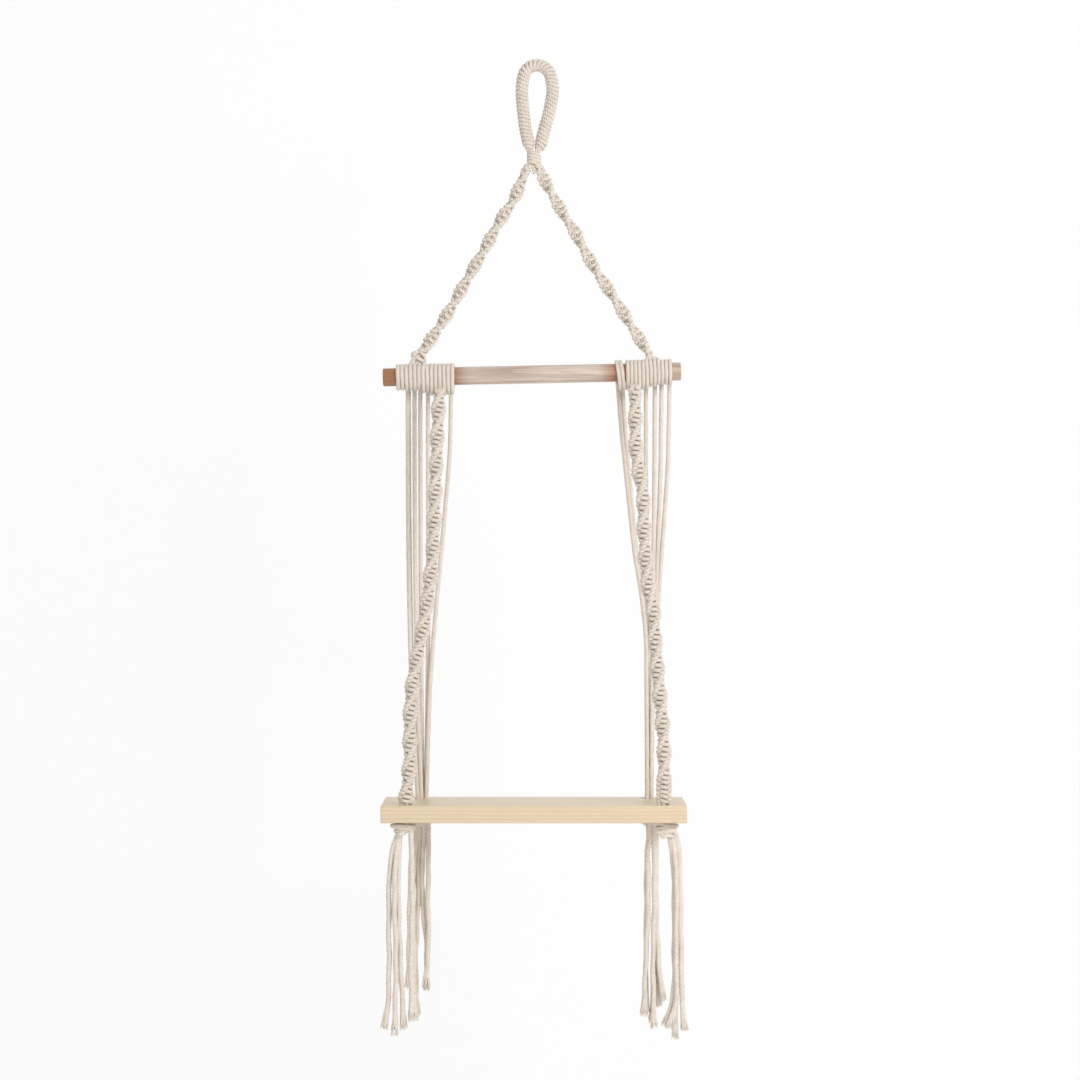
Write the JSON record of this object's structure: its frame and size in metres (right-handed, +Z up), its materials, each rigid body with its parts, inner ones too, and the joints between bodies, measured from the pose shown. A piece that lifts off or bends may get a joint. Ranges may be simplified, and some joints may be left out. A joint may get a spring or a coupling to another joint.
{
  "type": "hanging rope shelf",
  "caption": "Macrame hanging shelf: a wrapped rope loop and knotted arms carry a round wooden rail, and knotted legs with plain cords hang a small pine board below it.",
  "frame": {"origin": "the point inside the top of the hanging loop where the hook bears", "axes": "+Z up, +X to the right along the rail and board, -Y towards the viewer, the wall behind at +Y"},
  "size_m": [0.3031, 0.12, 0.9709],
  "materials": {
    "cotton_cord": "matt twisted cotton cord, cream, with soft fuzz",
    "stained_wood": "satin reddish brown stain over fine grain",
    "pine": "pale planed pine, satin, fine long grain"
  },
  "bodies": {
    "loop": {"loop_core": "cotton_cord", "loop_wrapping": "cotton_cord"},
    "neck": {"neck_core": "cotton_cord", "neck_wrapping": "cotton_cord"},
    "arms": {"arm_left": "cotton_cord", "arm_right": "cotton_cord"},
    "rail_unit": {"rail": "stained_wood", "hitch_left_1": "cotton_cord", "hitch_left_2": "cotton_cord", "hitch_left_3": "cotton_cord", "hitch_left_4": "cotton_cord", "hitch_left_5": "cotton_cord", "hitch_left_6": "cotton_cord", "hitch_left_7": "cotton_cord", "hitch_right_1": "cotton_cord", "hitch_right_2": "cotton_cord", "hitch_right_3": "cotton_cord", "hitch_right_4": "cotton_cord", "hitch_right_5": "cotton_cord", "hitch_right_6": "cotton_cord", "hitch_right_7": "cotton_cord"},
    "left_legs": {"knotted_leg_left": "cotton_cord", "plain_cord_left_1": "cotton_cord", "plain_cord_left_2": "cotton_cord", "plain_cord_left_3": "cotton_cord", "plain_cord_left_4": "cotton_cord", "plain_cord_left_5": "cotton_cord", "plain_cord_left_6": "cotton_cord"},
    "right_legs": {"knotted_leg_right": "cotton_cord", "plain_cord_right_1": "cotton_cord", "plain_cord_right_2": "cotton_cord", "plain_cord_right_3": "cotton_cord", "plain_cord_right_4": "cotton_cord", "plain_cord_right_5": "cotton_cord", "plain_cord_right_6": "cotton_cord"},
    "board_unit": {"board": "pine", "stopper_knot_front_left": "cotton_cord", "stopper_knot_back_left": "cotton_cord", "stopper_knot_front_right": "cotton_cord", "stopper_knot_back_right": "cotton_cord"},
    "tassel_front_left": {"strand_front_left_1": "cotton_cord", "strand_front_left_2": "cotton_cord", "strand_front_left_3": "cotton_cord", "strand_front_left_4": "cotton_cord"},
    "tassel_back_left": {"strand_back_left_1": "cotton_cord", "strand_back_left_2": "cotton_cord", "strand_back_left_3": "cotton_cord", "strand_back_left_4": "cotton_cord", "strand_back_left_5": "cotton_cord", "strand_back_left_6": "cotton_cord"},
    "tassel_front_right": {"strand_front_right_1": "cotton_cord", "strand_front_right_2": "cotton_cord", "strand_front_right_3": "cotton_cord", "strand_front_right_4": "cotton_cord"},
    "tassel_back_right": {"strand_back_right_1": "cotton_cord", "strand_back_right_2": "cotton_cord", "strand_back_right_3": "cotton_cord", "strand_back_right_4": "cotton_cord", "strand_back_right_5": "cotton_cord", "strand_back_right_6": "cotton_cord"}
  },
  "joints": [
    {"name": "neck_swing", "type": "hinge", "parent": "loop", "child": "neck", "pos_m": [0, 0, -0.0802], "axis": [1, 0, 0], "range_deg": [-20, 20]},
    {"name": "arm_sway", "type": "hinge", "parent": "neck", "child": "arms", "pos_m": [0, 0, -0.08983], "axis": [0, 1, 0], "range_deg": [-12, 12]},
    {"name": "rail_roll", "type": "hinge", "parent": "arms", "child": "rail_unit", "pos_m": [-0.002, 0, -0.3013], "axis": [0.9998, 0, 0.0201], "range_deg": [-20, 20]},
    {"name": "left_leg_sway", "type": "hinge", "parent": "rail_unit", "child": "left_legs", "pos_m": [-0.0934, 0, -0.3164], "axis": [0, 1, 0], "range_deg": [-4.8, 4.8]},
    {"name": "right_leg_sway", "type": "hinge", "parent": "rail_unit", "child": "right_legs", "pos_m": [0.0988, 0, -0.3126], "axis": [0, 1, 0], "range_deg": [-4.8, 4.8]},
    {"name": "board_level", "type": "hinge", "parent": "left_legs", "child": "board_unit", "pos_m": [-0.1195, 0, -0.726], "axis": [0, 1, 0], "range_deg": [-3.9, 3.9]},
    {"name": "front_left_tassel_swing", "type": "hinge", "parent": "board_unit", "child": "tassel_front_left", "pos_m": [-0.126, -0.045, -0.7487], "axis": [1, 0, 0], "range_deg": [-25, 10]},
    {"name": "back_left_tassel_swing", "type": "hinge", "parent": "board_unit", "child": "tassel_back_left", "pos_m": [-0.114, 0.045, -0.7487], "axis": [1, 0, 0], "range_deg": [-10, 25]},
    {"name": "front_right_tassel_swing", "type": "hinge", "parent": "board_unit", "child": "tassel_front_right", "pos_m": [0.126, -0.045, -0.7487], "axis": [1, 0, 0], "range_deg": [-25, 10]},
    {"name": "back_right_tassel_swing", "type": "hinge", "parent": "board_unit", "child": "tassel_back_right", "pos_m": [0.114, 0.045, -0.7487], "axis": [1, 0, 0], "range_deg": [-10, 25]}
  ],
  "couplings": [
    {"joint": "right_leg_sway", "follows": "left_leg_sway", "ratio": 0.99081},
    {"joint": "board_level", "follows": "left_leg_sway", "ratio": -0.80498}
  ]
}
